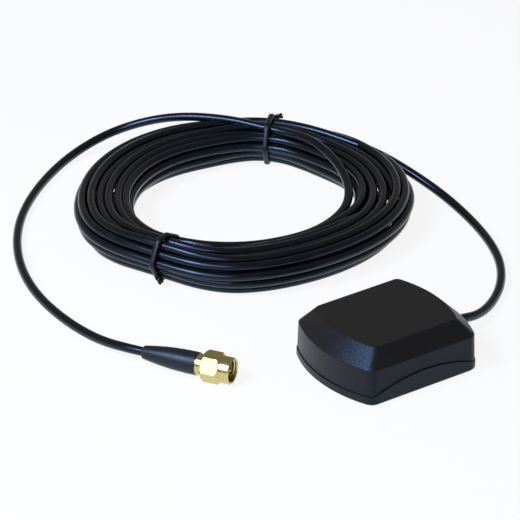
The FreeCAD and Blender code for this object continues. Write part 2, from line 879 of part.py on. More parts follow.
os.makedirs("parts", exist_ok=True)
for name, make in PIECES.items():
    shape = make()
    print(name, "solids", len(shape.Solids), "valid", shape.isValid(), "volume", round(shape.Volume, 2))
    shape.exportStep(f"parts/{name}.step")
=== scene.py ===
"""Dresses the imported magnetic-mount antenna: puck, wound lead, wire ties and screw-on plug.

The scene is in metres in the part's own frame: +X points to the side of the puck where the lead
leaves it, +Z is up, and the origin is the middle of the puck's underside. Classes whose sizes are
in mm say so.
"""
import logging
import math
import random
from dataclasses import astuple, dataclass, field
from enum import Enum
from typing import Any, Callable, Optional, Sequence

import bmesh
import bpy
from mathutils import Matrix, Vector


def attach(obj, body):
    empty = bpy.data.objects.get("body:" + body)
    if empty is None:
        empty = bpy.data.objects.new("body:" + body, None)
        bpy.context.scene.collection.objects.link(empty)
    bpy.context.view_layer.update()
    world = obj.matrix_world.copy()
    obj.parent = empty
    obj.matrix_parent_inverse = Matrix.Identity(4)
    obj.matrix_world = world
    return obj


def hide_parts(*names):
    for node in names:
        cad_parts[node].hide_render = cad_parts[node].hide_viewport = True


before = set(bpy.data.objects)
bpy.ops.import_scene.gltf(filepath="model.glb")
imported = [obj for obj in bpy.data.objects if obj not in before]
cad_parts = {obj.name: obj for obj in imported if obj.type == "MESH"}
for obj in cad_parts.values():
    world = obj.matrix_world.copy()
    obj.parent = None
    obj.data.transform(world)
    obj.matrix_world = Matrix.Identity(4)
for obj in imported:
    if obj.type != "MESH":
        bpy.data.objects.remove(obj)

LOG = logging.getLogger("antenna")
MM = 0.001
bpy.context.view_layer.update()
Point = tuple[float, float, float]
LEAD_DIAMETER = 2.7  # mm
PLUG_HEADING = -57.6  # degrees from +X to the plug's mouth
MIX_FACTOR, MIX_A, MIX_B = 0, 6, 7  # the mix node's sockets for colours
NOISE_RANGE = (0.3, 0.7)  # nearly all of a noise texture's values lie between these
RING_DRAW = 0.12  # a turned pattern changes this much slower round the plug than along it
WAVE_SPACING = 0.314  # band to band in a wave texture at a scale of 1


class Body(Enum):
    """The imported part's bodies that a piece can ride on."""

    ANTENNA = "antenna"
    NUT = "nut"


# Colours, nodes and meshes ---------------------------------------------------------------------


def linear(code: str) -> tuple[float, float, float, float]:
    """Turns an sRGB hex colour into the linear colour that the shader takes.

    Args:
        code: Six hex digits, with or without a leading hash sign.

    Returns:
        Red, green, blue and an alpha of 1.
    """
    digits = code.lstrip("#")
    channels = []
    for start in (0, 2, 4):
        value = int(digits[start:start + 2], 16) / 255
        channels.append(value / 12.92 if value <= 0.04045 else ((value + 0.055) / 1.055) ** 2.4)
    return (channels[0], channels[1], channels[2], 1.0)


def add_node(
    tree: bpy.types.NodeTree,
    kind: str,
    settings: Optional[dict[str, Any]] = None,
    values: Optional[dict[Any, Any]] = None,
    links: Optional[dict[Any, bpy.types.NodeSocket]] = None,
) -> bpy.types.Node:
    """Adds a node to a tree with its settings, its socket values and its incoming links.

    Args:
        tree: The material's node tree.
        kind: The node's type name.
        settings: Properties of the node itself.
        values: Default values of its inputs, by name or number.
        links: Output sockets that feed its inputs, by name or number.

    Returns:
        The new node.
    """
    node = tree.nodes.new(kind)
    for name, value in (settings or {}).items():
        setattr(node, name, value)
    for name, value in (values or {}).items():
        node.inputs[name].default_value = value
    for name, socket in (links or {}).items():
        tree.links.new(socket, node.inputs[name])
    return node


def bare_tree(owner: bpy.types.ID) -> bpy.types.NodeTree:
    """Turns the nodes of a material or world on and empties them.

    Args:
        owner: The material or world.

    Returns:
        Its node tree, with nothing in it.
    """
    owner.use_nodes = True
    owner.node_tree.nodes.clear()
    return owner.node_tree


def new_material(name: str) -> tuple[bpy.types.Material, bpy.types.NodeTree, bpy.types.Node]:
    """Makes a material that holds only a Principled shader and its output.

    Args:
        name: The finish's name.

    Returns:
        The material, its tree and its Principled node.
    """
    material = bpy.data.materials.new(name)
    tree = bare_tree(material)
    shader = add_node(tree, "ShaderNodeBsdfPrincipled")
    add_node(tree, "ShaderNodeOutputMaterial", links={"Surface": shader.outputs["BSDF"]})
    return material, tree, shader


def link_mesh(name: str, mesh: bpy.types.Mesh, material: bpy.types.Material) -> bpy.types.Object:
    """Puts a finished mesh in the scene under its own name, shaded smooth.

    Args:
        name: The piece's name.
        mesh: Its mesh.
        material: Its finish.

    Returns:
        The new object.
    """
    mesh.materials.append(material)
    mesh.shade_smooth()
    piece = bpy.data.objects.new(name, mesh)
    bpy.context.scene.collection.objects.link(piece)
    return piece


def swept_mesh(
    name: str, parts: Sequence[tuple[Sequence[Sequence[Vector]], bool]]
) -> bpy.types.Mesh:
    """Skins rows of rings; in one row all the rings have the same number of points.

    Args:
        name: The mesh's name.
        parts: For each row its rings in order, and True where the last ring joins the first;
            otherwise both ends are capped.

    Returns:
        The mesh.
    """
    shell = bmesh.new()
    for rings, closed in parts:
        rows = [[shell.verts.new(point) for point in ring] for ring in rings]
        count = len(rows[0])
        pairs = list(zip(rows, rows[1:])) + ([(rows[-1], rows[0])] if closed else [])
        for near, far in pairs:
            for i in range(count):
                j = (i + 1) % count
                shell.faces.new((near[i], near[j], far[j], far[i]))
        if not closed:
            shell.faces.new(list(reversed(rows[0])))
            shell.faces.new(rows[-1])
    bmesh.ops.recalc_face_normals(shell, faces=shell.faces)
    mesh = bpy.data.meshes.new(name)
    shell.to_mesh(mesh)
    shell.free()
    return mesh


def tube_rings(
    path: Sequence[Vector], radius: Callable[[int], float], sides: int
) -> list[list[Vector]]:
    """Rings square to an open path, turned as little as possible from one to the next.

    Args:
        path: Points along the middle of the tube.
        radius: Gives the tube's radius at a point's number.
        sides: Points in each ring.

    Returns:
        One ring of points for each point of the path.
    """
    rings = []
    side = None
    last = len(path) - 1
    for i, point in enumerate(path):
        along = (path[min(i + 1, last)] - path[max(i - 1, 0)]).normalized()
        if side is None:
            side = along.orthogonal().normalized()
        side = (side - along * side.dot(along)).normalized()
        across = along.cross(side)
        size = radius(i)
        rings.append([
            point + (side * math.cos(a) + across * math.sin(a)) * size
            for a in (2 * math.pi * n / sides for n in range(sides))
        ])
    return rings


# Finishes --------------------------------------------------------------------------------------


@dataclass(frozen=True)
class Finish:
    """A surface of two close tones whose gloss follows its patches, with a fine relief.

    Every finish below is one of these, with its own values and, where the real surface has more
    than an even speckle, its own pattern. Patch, grain, relief and edge are in mm.
    """

    name: str = "plain"
    tones: tuple[str, str] = ("#808080", "#909090")
    gloss: tuple[float, float] = (0.4, 0.5)
    patch: float = 3.0
    grain: float = 0.3
    detail: float = 3.0
    relief: float = 0.01
    metallic: float = 0.0
    ior: float = 1.5
    specular: float = 0.5
    # a blue tint here is painted light: it colours the lamps' reflections cool, not the surface
    specular_tint: str = "#ffffff"
    see_through: float = 0.0
    edge: float = 0.0  # rounding that the light sees on sharp edges

    def place(self, tree: bpy.types.NodeTree) -> bpy.types.NodeSocket:
        """Where the pattern is read: the part's own frame, in metres."""
        return add_node(tree, "ShaderNodeTexCoord").outputs["Object"]

    def tone(self, tree: bpy.types.NodeTree, place: bpy.types.NodeSocket) -> bpy.types.NodeSocket:
        """Pattern from 0 to 1 that mixes the tones and the gloss."""
        return self.speckle(tree, place, self.patch)

    def height(self, tree: bpy.types.NodeTree, place: bpy.types.NodeSocket) -> bpy.types.NodeSocket:
        """Pattern from 0 to 1 that raises the relief."""
        return self.speckle(tree, place, self.grain)

    def speckle(
        self, tree: bpy.types.NodeTree, place: bpy.types.NodeSocket, size: float
    ) -> bpy.types.NodeSocket:
        """Even noise.

        Args:
            tree: The material's node tree.
            place: Where it is read.
            size: Width of its spots, in mm.

        Returns:
            The noise, from 0 to 1.
        """
        noise = add_node(
            tree, "ShaderNodeTexNoise", values={"Scale": 1 / (size * MM), "Detail": self.detail},
            links={"Vector": place},
        )
        return noise.outputs["Fac"]

    def material(self) -> bpy.types.Material:
        """Builds the material.

        Returns:
            The material.
        """
        material, tree, shader = new_material(self.name)
        place = self.place(tree)
        tone = self.tone(tree, place)
        mix = add_node(
            tree, "ShaderNodeMix", settings={"data_type": "RGBA"},
            values={MIX_A: linear(self.tones[0]), MIX_B: linear(self.tones[1])},
            links={MIX_FACTOR: tone},
        )
        rough = add_node(
            tree, "ShaderNodeMapRange",
            values={
                "From Min": NOISE_RANGE[0], "From Max": NOISE_RANGE[1],
                "To Min": self.gloss[0], "To Max": self.gloss[1],
            },
            links={"Value": tone},
        )
        bump = add_node(
            tree, "ShaderNodeBump", values={"Strength": 1.0, "Distance": self.relief * MM},
            links={"Height": self.height(tree, place)},
        )
        if self.edge:
            rounded = add_node(
                tree, "ShaderNodeBevel", settings={"samples": 6}, values={"Radius": self.edge * MM},
            )
            tree.links.new(rounded.outputs["Normal"], bump.inputs["Normal"])
        tree.links.new(mix.outputs[2], shader.inputs["Base Color"])
        tree.links.new(rough.outputs[0], shader.inputs["Roughness"])
        tree.links.new(bump.outputs["Normal"], shader.inputs["Normal"])
        shader.inputs["Metallic"].default_value = self.metallic
        shader.inputs["IOR"].default_value = self.ior
        shader.inputs["Specular IOR Level"].default_value = self.specular
        shader.inputs["Specular Tint"].default_value = linear(self.specular_tint)
        shader.inputs["Transmission Weight"].default_value = self.see_through
        return material


@dataclass(frozen=True)
class SparkErodedAbs(Finish):
    """Black ABS, injection moulded in a spark-eroded tool."""

    # To the eye: the light breaks into a soft haze on an even, slightly sparkling grain.
    name: str = "black ABS, spark-eroded mould texture"
    tones: tuple[str, str] = ("#171412", "#211d1b")
    gloss: tuple[float, float] = (0.32, 0.42)
    patch: float = 5.0
    grain: float = 0.45  # coarser than the real 0.1 mm, so that it shows
    relief: float = 0.09
    ior: float = 1.53
    specular: float = 0.27
    # Painted light: this blue-green tint colours the lamps' reflections on the ABS, standing in for
    # cool light
    specular_tint: str = "#96c6ee"
    edge: float = 0.35

    def tone(self, tree: bpy.types.NodeTree, place: bpy.types.NodeSocket) -> bpy.types.NodeSocket:
        """Cloudy handling marks with the mould's grain over them.

        Args:
            tree: The material's node tree.
            place: Where the pattern is read.

        Returns:
            The pattern, from 0 to 1.
        """
        cloud = self.speckle(tree, place, self.patch)
        grain = self.speckle(tree, place, self.grain)
        both = add_node(
            tree, "ShaderNodeMath", settings={"operation": "ADD"}, links={0: cloud, 1: grain}
        )
        half = add_node(
            tree, "ShaderNodeMath", settings={"operation": "MULTIPLY"}, values={1: 0.5},
            links={0: both.outputs[0]},
        )
        return half.outputs[0]


@dataclass(frozen=True)
class ExtrudedPvc(Finish):
    """Black plasticised PVC, drawn over the cable through a heated die."""

    # To the eye: a clean streak along each turn, painted bluish by the specular tint below, that
    # dulls a little where it was rubbed.
    name: str = "black PVC, extruded cable jacket"
    tones: tuple[str, str] = ("#060606", "#0c0c0d")
    gloss: tuple[float, float] = (0.18, 0.27)
    patch: float = 6.0
    grain: float = 3.0
    detail: float = 1.0
    relief: float = 0.01
    ior: float = 1.53
    specular: float = 0.55
    # Painted light: this blue tint colours the lamps' reflections on the jacket, standing in for
    # cool light
    specular_tint: str = "#a3c0e8"


@dataclass(frozen=True)
class MouldedPvc(Finish):
    """Black PVC, moulded over the cable in a turned tool."""

    # To the eye: a broad satin streak crossed by faint rings.
    name: str = "black PVC, injection moulded"
    tones: tuple[str, str] = ("#101112", "#1a1b1c")
    gloss: tuple[float, float] = (0.34, 0.46)
    patch: float = 2.2
    grain: float = 0.7
    relief: float = 0.016
    ior: float = 1.53
    specular: float = 0.5
    # Painted light: this blue tint colours the lamps' reflections on the boot, standing in for cool
    # light
    specular_tint: str = "#bbd3e8"

    def place(self, tree: bpy.types.NodeTree) -> bpy.types.NodeSocket:
        """Read along the plug's axis, so that the pattern lies in rings round it."""
        return along_plug(tree)


@dataclass(frozen=True)
class TwistedWireTie(Finish):
    """Iron wire in soft black PVC, twisted shut by hand."""

    # To the eye: duller than the cable, with short creases.
    name: str = "black PVC over wire, twisted tie"
    tones: tuple[str, str] = ("#09090a", "#141416")
    gloss: tuple[float, float] = (0.3, 0.45)
    patch: float = 1.0
    grain: float = 0.4
    relief: float = 0.02
    # Painted light: this blue tint colours the lamps' reflections on the tie, standing in for cool
    # light
    specular_tint: str = "#bbd3e8"


@dataclass(frozen=True)
class GoldPlate(Finish):
    """Thin gold, barrel plated over turned brass."""

    # To the eye: pale yellow mirrors with fine rings, white where they face the lamp.
    name: str = "gold plate over turned brass"
    tones: tuple[str, str] = ("#bcae6b", "#dfd498")
    gloss: tuple[float, float] = (0.12, 0.22)
    patch: float = 0.9
    grain: float = 0.16  # coarser than the real 0.05 mm tool marks, so that they show
    relief: float = 0.003
    metallic: float = 1.0
    edge: float = 0.1

    def place(self, tree: bpy.types.NodeTree) -> bpy.types.NodeSocket:
        """Read along the plug's axis, so that the tool marks lie in rings round it."""
        return along_plug(tree)


@dataclass(frozen=True)
class BlackRubber(Finish):
    """Black nitrile rubber, compression moulded."""

    # To the eye: dull and a little dusty.
    name: str = "black nitrile rubber, moulded"
    tones: tuple[str, str] = ("#161616", "#242424")
    gloss: tuple[float, float] = (0.5, 0.65)
    patch: float = 1.5
    grain: float = 0.25
    relief: float = 0.015


@dataclass(frozen=True)
class TurnedPtfe(Finish):
    """White PTFE, turned from rod."""

    # To the eye: waxy white with faint rings from the tool.
    name: str = "white PTFE, turned"
    tones: tuple[str, str] = ("#ece9e2", "#f6f4ef")
    gloss: tuple[float, float] = (0.35, 0.5)
    patch: float = 0.8
    grain: float = 0.2  # coarser than the real 0.05 mm tool marks, so that they show
    relief: float = 0.006
    ior: float = 1.35

    def place(self, tree: bpy.types.NodeTree) -> bpy.types.NodeSocket:
        """Read along the plug's axis, so that the tool marks lie in rings round it."""
        return along_plug(tree)


@dataclass(frozen=True)
class CablePolyethylene(Finish):
    """Natural polyethylene, extruded over the conductor."""

    # To the eye: milky and slightly clear.
    name: str = "natural polyethylene, extruded"
    tones: tuple[str, str] = ("#dcdcd2", "#ebebe3")
    gloss: tuple[float, float] = (0.25, 0.35)
    patch: float = 1.0
    grain: float = 0.3
    relief: float = 0.006
    ior: float = 1.51
    see_through: float = 0.25


@dataclass(frozen=True)
class SinteredCeramic(Finish):
    """Tan microwave ceramic, pressed and fired."""

    # To the eye: matt, with fine specks.
    name: str = "tan ceramic, pressed and fired"
    tones: tuple[str, str] = ("#b09a78", "#cdb994")
    gloss: tuple[float, float] = (0.6, 0.75)
    patch: float = 0.5
    grain: float = 0.15
    relief: float = 0.012
    ior: float = 1.7


@dataclass(frozen=True)
class PrintedSilver(Finish):
    """Silver paste, screen printed on the ceramic and fired."""

    # To the eye: frosty and pale, with the weave of the screen.
    name: str = "silver paste, screen printed"
    tones: tuple[str, str] = ("#b9b7b0", "#d6d4cd")
    gloss: tuple[float, float] = (0.35, 0.5)
    patch: float = 1.2
    grain: float = 0.2
    relief: float = 0.006
    metallic: float = 1.0

    def height(self, tree: bpy.types.NodeTree, place: bpy.types.NodeSocket) -> bpy.types.NodeSocket:
        """Crossed threads of the printing screen."""
        return woven(tree, place, self.grain)


@dataclass(frozen=True)
class GlassEpoxyBoard(Finish):
    """Glass-epoxy laminate under green lacquer."""

    # To the eye: glossy green over a cloth that just shows.
    name: str = "green lacquered glass-epoxy board"
    tones: tuple[str, str] = ("#124a2c", "#1c6a3f")
    gloss: tuple[float, float] = (0.2, 0.3)
    patch: float = 4.0
    grain: float = 0.5
    relief: float = 0.006
    ior: float = 1.55

    def height(self, tree: bpy.types.NodeTree, place: bpy.types.NodeSocket) -> bpy.types.NodeSocket:
        """Crossed yarns of the glass cloth."""
        return woven(tree, place, self.grain)


@dataclass(frozen=True)
class RolledTinplate(Finish):
    """Tinplate, rolled and folded."""

    # To the eye: bright grey under a soft haze.
    name: str = "tinplate, rolled and folded"
    tones: tuple[str, str] = ("#a9adb0", "#c3c7ca")
    gloss: tuple[float, float] = (0.22, 0.36)
    patch: float = 2.0
    grain: float = 0.2
    relief: float = 0.004
    metallic: float = 1.0


@dataclass(frozen=True)
class NickelPlate(Finish):
    """Nickel, barrel plated on a sintered magnet."""

    # To the eye: warm grey, clouded by tumbling.
    name: str = "nickel plate, barrel finished"
    tones: tuple[str, str] = ("#9d9a92", "#b8b5ac")
    gloss: tuple[float, float] = (0.2, 0.32)
    patch: float = 1.5
    grain: float = 0.3
    relief: float = 0.006
    metallic: float = 1.0


@dataclass(frozen=True)
class ZincPlatedSteel(Finish):
    """Steel screws, cold headed and zinc plated."""

    # To the eye: bluish grey with small clouds.
    name: str = "zinc-plated steel, cold headed"
    tones: tuple[str, str] = ("#8d9297", "#aab0b5")
    gloss: tuple[float, float] = (0.25, 0.42)
    patch: float = 0.7
    grain: float = 0.15
    relief: float = 0.005
    metallic: float = 1.0


@dataclass(frozen=True)
class ChipEpoxy(Finish):
    """Epoxy moulding compound of the chips, blasted tool."""

    # To the eye: flat black with the finest grain.
    name: str = "black epoxy moulding compound"
    tones: tuple[str, str] = ("#1b1c1e", "#2b2c2f")
    gloss: tuple[float, float] = (0.5, 0.62)
    patch: float = 0.6
    grain: float = 0.08
    relief: float = 0.006


@dataclass(frozen=True)
class OpenCellFoam(Finish):
    """Grey polyurethane foam, cut from sheet."""

    # To the eye: open cells that swallow the light.
    name: str = "grey polyurethane foam, cut"
    tones: tuple[str, str] = ("#4c4d50", "#77787c")
    gloss: tuple[float, float] = (0.85, 0.95)
    patch: float = 0.6
    grain: float = 0.5
    relief: float = 0.15

    def height(self, tree: bpy.types.NodeTree, place: bpy.types.NodeSocket) -> bpy.types.NodeSocket:
        """Round cells with thin walls.

        Args:
            tree: The material's node tree.
            place: Where the pattern is read.

        Returns:
            The cells' height, from 0 to 1.
        """
        cells = add_node(
            tree, "ShaderNodeTexVoronoi", values={"Scale": 1 / (self.grain * MM)},
            links={"Vector": place},
        )
        return cells.outputs["Distance"]


@dataclass(frozen=True)
class AdhesiveTape(Finish):
    """White double-sided tissue tape."""

    # To the eye: dull white with stray fibres.
    name: str = "white tissue tape, double sided"
    tones: tuple[str, str] = ("#dddbd4", "#efede7")
    gloss: tuple[float, float] = (0.55, 0.7)
    patch: float = 1.2
    grain: float = 0.2
    relief: float = 0.01


def along_plug(tree: bpy.types.NodeTree) -> bpy.types.NodeSocket:
    """Coordinates turned to the plug's axis and drawn out round it, so that noise makes rings.

    Args:
        tree: The material's node tree.

    Returns:
        The coordinates, in metres along the axis.
    """
    turned = add_node(
        tree, "ShaderNodeMapping", values={"Rotation": (0.0, 0.0, math.radians(-PLUG_HEADING))},
        links={"Vector": add_node(tree, "ShaderNodeTexCoord").outputs["Object"]},
    )
    drawn = add_node(
        tree, "ShaderNodeMapping", values={"Scale": (1.0, RING_DRAW, RING_DRAW)},
        links={"Vector": turned.outputs[0]},
    )
    return drawn.outputs[0]


def woven(
    tree: bpy.types.NodeTree, place: bpy.types.NodeSocket, pitch: float
) -> bpy.types.NodeSocket:
    """Two sets of crossed threads.

    Args:
        tree: The material's node tree.
        place: Where the pattern is read.
        pitch: Thread to thread, in mm.

    Returns:
        The cloth's height, from 0 to 1.
    """
    threads = [
        add_node(
            tree, "ShaderNodeTexWave", settings={"bands_direction": direction},
            values={"Scale": WAVE_SPACING / (pitch * MM), "Distortion": 0.4},
            links={"Vector": place},
        )
        for direction in ("X", "Y")
    ]
    cloth = add_node(
        tree, "ShaderNodeMath", settings={"operation": "MAXIMUM"},
        links={0: threads[0].outputs["Fac"], 1: threads[1].outputs["Fac"]},
    )
    return cloth.outputs[0]


class FinishStore:
    """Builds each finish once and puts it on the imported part's pieces."""

    def __init__(self) -> None:
        """Starts with no material made."""
        self.made: dict[Finish, bpy.types.Material] = {}

    def material(self, finish: Finish) -> bpy.types.Material:
        """The finish's material, made the first time that it is asked for.

        Args:
            finish: The finish.

        Returns:
            Its material.
        """
        if finish not in self.made:
            self.made[finish] = finish.material()
        return self.made[finish]

    def dress(self, finishes: dict[str, Finish]) -> None:
        """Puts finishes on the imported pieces.

        Args:
            finishes: Finish for each piece, by the piece's name.
        """
        for name, finish in finishes.items():
            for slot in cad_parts[name].material_slots:
                slot.material = self.material(finish)
            LOG.info("%s: %s", name, finish.name)


# The lead and its coil -------------------------------------------------------------------------


def ease(share: float) -> float:
    """Smooth step from 0 to 1."""
    return share * share * (3 - 2 * share)


@dataclass(frozen=True)
class Lane:
    """Where one turn lies in the bundle, under a tie and where nothing holds it."""

    row: float  # from the bottom, under a tie
    across: float  # diameters outwards from the bundle's middle, under a tie
    loose_out: float  # mm outwards, where the turns are free
    loose_up: float  # mm above the lowest turns, where the turns are free

    def towards(self, other: "Lane", share: float) -> "Lane":
        """The lane a share of the way from this one to another."""
        return Lane(*[a + (b - a) * share for a, b in zip(astuple(self), astuple(other))])


@dataclass
class Coil:
    """The wound turns: where each one lies between and under the two ties. Sizes in mm."""

    centre: tuple[float, float] = (14.0, 91.0)
    mean_radius: float = 41.2
    # How the loop leaves a circle between the ties: lobes, mm, and the angle of the first lobe
    bulges: tuple[Point, ...] = ((1, 0.9, 116.0), (2, 1.8, -6.0), (3, 1.0, -34.0))
    diameter: float = LEAD_DIAMETER
    front_tie: float = 202.0  # degrees round the coil, like every angle below
    back_tie: float = 44.5
    draw_in: float = 37.0  # from a tie to where nothing holds the turns
    first_angle: float = 14.0
    step: float = 12.0
    floor_gap: float = 0.05
    lift: float = 1.3  # how far a tie holds the lowest turns off the floor
    # A turn changes lanes on its way from the front tie to the back tie, in shares of that way:
    # where the last turn starts, how much later the first one does, and how long each takes
    change_start: float = 0.18
    change_spread: float = 0.5
    change_length: float = 0.24
    wander_across: float = 0.13
    wander_up: float = 0.12
    free_height: float = 4.0  # below this a loose turn wanders less in height
    ripples: int = 3  # waves in each turn's wander
    seed: int = 22
    # In the order of winding
    lanes: tuple[Lane, ...] = (
        Lane(4, 1.0, 4.0, 9.2), Lane(3, 1.5, 6.6, 8.5), Lane(2, 2.0, 8.0, 6.0),
        Lane(1, 1.5, 7.2, 3.2), Lane(0, 1.0, 4.6, 0.0), Lane(1, 0.5, 2.0, 3.0),
        Lane(2, 1.0, 4.6, 5.9), Lane(3, 0.5, 1.3, 8.6), Lane(4, 0.0, -1.3, 9.1),
        Lane(3, -0.5, -3.9, 8.7), Lane(2, 0.0, 0.1, 6.0), Lane(1, -0.5, -2.2, 3.2),
        Lane(0, 0.0, 0.0, 0.2), Lane(0, -1.0, -4.4, 0.0), Lane(1, -1.5, -7.2, 3.1),
        Lane(2, -1.0, -4.6, 6.0), Lane(2, -2.0, -7.6, 5.8), Lane(3, -1.5, -6.4, 8.3),
    )
    # The loose last turn, listed: angle, radius and height
    last_turn: tuple[Point, ...] = (
        (214.0, 36.5, 10.5), (228.0, 34.0, 9.8), (242.0, 32.0, 9.2), (256.0, 30.6, 8.8),
        (270.0, 30.0, 8.4), (284.0, 30.0, 8.2), (298.0, 30.4, 8.2), (312.0, 31.2, 8.4),
        (326.0, 31.8, 9.0), (340.0, 32.2, 10.0), (354.0, 32.8, 11.2), (368.0, 34.0, 12.2),
        (382.0, 36.0, 13.0), (396.0, 37.7, 12.2), (408.0, 39.5, 12.2), (420.0, 43.0, 12.8),
    )

    def way(self) -> float:
        """Degrees from the front tie on to the back tie."""
        return (self.back_tie - self.front_tie) % 360.0

    def lowest(self) -> float:
        """Height of the middle of a turn that lies on the floor, in mm."""
        return self.diameter / 2 + self.floor_gap

    def row_pitch(self) -> float:
        """Row to row under a tie, in mm: each row nests in the one below."""
        return self.diameter * math.sqrt(3) / 2

    def at(self, angle: float, radius: float, height: float) -> Point:
        """Point of the part's frame for a place in the coil.

        Args:
            angle: Degrees round the coil.
            radius: From the coil's centre, in mm.
            height: Above the floor, in mm.

        Returns:
            The point, in mm.
        """
        turn = math.radians(angle)
        return (
            self.centre[0] + radius * math.cos(turn),
            self.centre[1] + radius * math.sin(turn),
            height,
        )

    def middle(self, angle: float) -> float:
        """Radius of the bundle's middle: between the ties the loop is a little out of round.

        Args:
            angle: Degrees round the coil.

        Returns:
            The radius, in mm.
        """
        loose = self.swell(angle)
        return self.mean_radius + sum(
            loose * size * math.cos(math.radians(lobes * (angle - first)))
            for lobes, size, first in self.bulges
        )

    def swell(self, angle: float) -> float:
        """How far the bundle has opened.

        Args:
            angle: Degrees round the coil.

        Returns:
            From 0 under a tie to 1 where nothing holds the turns.
        """
        nearest = min(
            abs((angle - tie + 180.0) % 360.0 - 180.0) for tie in (self.front_tie, self.back_tie)
        )
        return ease(min(nearest / self.draw_in, 1.0))

    def place(self, lane: Lane, angle: float, stray: tuple[float, float]) -> Point:
        """Point of the bundle for a lane at an angle.

        Args:
            lane: Where the turn lies.
            angle: Degrees round the coil.
            stray: How far this turn wanders across and up where nothing holds it, in mm.

        Returns:
            The point, in mm.
        """
        loose = self.swell(angle)
        tied_out = lane.across * self.diameter
        tied_up = lane.row * self.row_pitch() + self.lift
        loose_out = lane.loose_out + stray[0]
        loose_up = lane.loose_up + stray[1] * min(lane.loose_up / self.free_height, 1.0)
        radius = self.middle(angle) + tied_out + (loose_out - tied_out) * loose
        height = self.lowest() + tied_up + (loose_up - tied_up) * loose
        return self.at(angle, radius, height)

    def lane_at(self, turn: int, angle: float) -> Lane:
        """Where a turn is in the bundle, changing lanes between the front and the back tie.

        Args:
            turn: The turn's number from 0, or -1 before the front tie is first passed.
            angle: Degrees round the coil.

        Returns:
            The lane.
        """
        past_front = (angle - self.front_tie) % 360.0
        way = self.way()
        last = len(self.lanes) - 1
        then = self.lanes[min(turn + 1, last)]
        if turn < 0 or past_front > way:
            return then
        start = self.change_start * way + self.change_spread * way * (last - turn) / last
        share = min(max((past_front - start) / (self.change_length * way), 0.0), 1.0)
        return self.lanes[turn].towards(then, ease(share))

    def points(self) -> list[Point]:
        """The control points of all the turns, from the puck's lead to the loose last turn.

        Returns:
            The points, in mm.
        """
        chance = random.Random(self.seed)
        laps = len(self.lanes) + 1
        waves = [
            [(chance.uniform(-1, 1), chance.uniform(-1, 1), chance.uniform(0, 360))
             for _ in range(self.ripples)]
            for _ in range(laps)
        ]
        made = []
        angle = self.first_angle
        while angle < self.front_tie + 360.0 * (laps - 2):
            turn, past_front = divmod(angle - self.front_tie, 360.0)
            lap = int(turn) + (past_front > self.way())
            across = up = 0.0
            for i, (sideways, upwards, phase) in enumerate(waves[lap]):
                wave = math.sin(math.radians(angle * (i + 1) + phase))
                across += self.wander_across * sideways * wave
                up += self.wander_up * upwards * wave
            made.append(self.place(self.lane_at(int(turn), angle), angle, (across, up)))
            angle += self.step
        return made + [self.at(*point) for point in self.last_turn]


@dataclass
class Lead:
    """The coaxial lead: one cord from the puck through the coil to the plug's boot. Sizes in mm."""

    diameter: float = LEAD_DIAMETER
    length: float = 5.0  # metres
    exit_point: Point = (22.6, 0.0, 5.2)  # where the lead leaves the puck's wall
    # The route before and after the coil, listed: it starts in the puck and ends in the boot
    from_puck: tuple[Point, ...] = (
        (17.2, 0.0, 5.2), (25.6, 0.0, 5.2), (34.6, 1.9, 2.6), (44.6, 7.6, 1.4),
        (54.0, 15.8, 1.4), (61.4, 26.4, 1.4), (66.6, 39.2, 1.4), (70.0, 53.0, 1.4),
        (70.6, 66.4, 3.0), (67.6, 79.2, 6.2), (63.4, 90.6, 9.2),
    )
    to_plug: tuple[Point, ...] = (
        (26.4, 139.6, 12.2), (18.4, 149.6, 9.0), (7.6, 156.8, 4.6), (-7.4, 155.2, 1.8),
        (-23.8, 145.6, 1.4), (-38.4, 133.0, 1.4), (-49.6, 118.8, 1.4), (-58.0, 102.4, 1.4),
        (-62.6, 85.6, 1.4), (-63.6, 69.0, 1.4), (-62.4, 53.6, 2.0), (-59.6, 41.0, 4.0),
        (-52.73, 30.15, 4.0),
    )
    coil: Coil = field(default_factory=Coil)
    round_steps: int = 4  # how finely the curve is drawn round and along
    path_steps: int = 5

    def build(self, store: FinishStore) -> bpy.types.Object:
        """Makes the whole lead as one smooth curve and dresses it.

        Args:
            store: The finishes.

        Returns:
            The curve.
        """
        curve = bpy.data.curves.new("coaxial_lead", "CURVE")
        curve.dimensions = "3D"
        curve.bevel_depth = self.diameter / 2 * MM
        curve.bevel_resolution = self.round_steps
        curve.resolution_u = self.path_steps
        curve.use_fill_caps = True
        spline = curve.splines.new("NURBS")
        route = [*self.from_puck, *self.coil.points(), *self.to_plug]
        spline.points.add(len(route) - 1)
        for point, (x, y, z) in zip(spline.points, route):
            point.co = (x * MM, y * MM, z * MM, 1.0)
        spline.order_u = 3
        spline.use_endpoint_u = True
        curve.materials.append(store.material(ExtrudedPvc()))
        lead = bpy.data.objects.new("coaxial_lead", curve)
        bpy.context.scene.collection.objects.link(lead)
        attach(lead, Body.ANTENNA.value)
        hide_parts("puck_lead", "cable_coil", "plug_lead")
        LOG.info("coaxial_lead: %d control points", len(route))
        return lead


